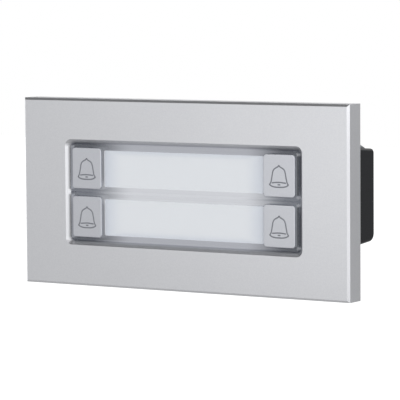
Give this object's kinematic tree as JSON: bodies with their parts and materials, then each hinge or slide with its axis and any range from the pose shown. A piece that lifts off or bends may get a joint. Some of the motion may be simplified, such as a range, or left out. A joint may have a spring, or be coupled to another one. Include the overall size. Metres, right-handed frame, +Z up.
{
  "type": "doorbell call panel",
  "caption": "Flush-mounted doorbell call panel: satin silver plate, two rows of clear name windows with bell buttons at both ends, black wall box behind.",
  "frame": {"origin": "centre of the plane where the plate's rear rim meets the wall", "axes": "+X to the right seen from the front, +Y into the wall, +Z up"},
  "size_m": [0.15, 0.0457, 0.075],
  "materials": {
    "plate_silver": "satin, fine blasted and silver anodised",
    "lens_clear": "clear, polished",
    "button_silver": "satin silver lacquer",
    "card_white": "smooth white card",
    "diffuser_opal": "opal, matt",
    "reflector_white": "white, matt",
    "led_white": "glossy",
    "frame_black": "black, fine moulded grain",
    "board_green": "solder mask, semi-gloss",
    "switch_black": "black, moulded",
    "terminal_grey": "grey, moulded",
    "screw_steel": "zinc plated",
    "seal_rubber": "soft matt",
    "box_black": "black, fine moulded grain"
  },
  "bodies": {
    "panel": {"front_plate": "plate_silver", "window_seal": "seal_rubber", "box_seal": "seal_rubber", "cable_grommet": "seal_rubber", "key_frame": "frame_black", "circuit_board": "board_green", "terminal_block": "terminal_grey", "terminal_screws": "screw_steel", "board_screws": "screw_steel", "box_screws": "screw_steel", "rear_box": "box_black", "name_lens_upper": "lens_clear", "name_card_upper": "card_white", "diffuser_upper": "diffuser_opal", "reflector_upper": "reflector_white", "led_upper_left": "led_white", "led_upper_middle": "led_white", "led_upper_right": "led_white", "name_lens_lower": "lens_clear", "name_card_lower": "card_white", "diffuser_lower": "diffuser_opal", "reflector_lower": "reflector_white", "led_lower_left": "led_white", "led_lower_middle": "led_white", "led_lower_right": "led_white", "switch_upper_left": "switch_black", "switch_upper_right": "switch_black", "switch_lower_left": "switch_black", "switch_lower_right": "switch_black"},
    "button_upper_left": {"bell_button_upper_left": "button_silver", "switch_plunger_upper_left": "switch_black"},
    "button_upper_right": {"bell_button_upper_right": "button_silver", "switch_plunger_upper_right": "switch_black"},
    "button_lower_left": {"bell_button_lower_left": "button_silver", "switch_plunger_lower_left": "switch_black"},
    "button_lower_right": {"bell_button_lower_right": "button_silver", "switch_plunger_lower_right": "switch_black"}
  },
  "joints": [
    {"name": "press_upper_left", "type": "slide", "parent": "panel", "child": "button_upper_left", "axis": [0, 1, 0], "range_m": [0, 0.0012], "stiffness_N_per_m": 2000},
    {"name": "press_upper_right", "type": "slide", "parent": "panel", "child": "button_upper_right", "axis": [0, 1, 0], "range_m": [0, 0.0012], "stiffness_N_per_m": 2000},
    {"name": "press_lower_left", "type": "slide", "parent": "panel", "child": "button_lower_left", "axis": [0, 1, 0], "range_m": [0, 0.0012], "stiffness_N_per_m": 2000},
    {"name": "press_lower_right", "type": "slide", "parent": "panel", "child": "button_lower_right", "axis": [0, 1, 0], "range_m": [0, 0.0012], "stiffness_N_per_m": 2000}
  ]
}
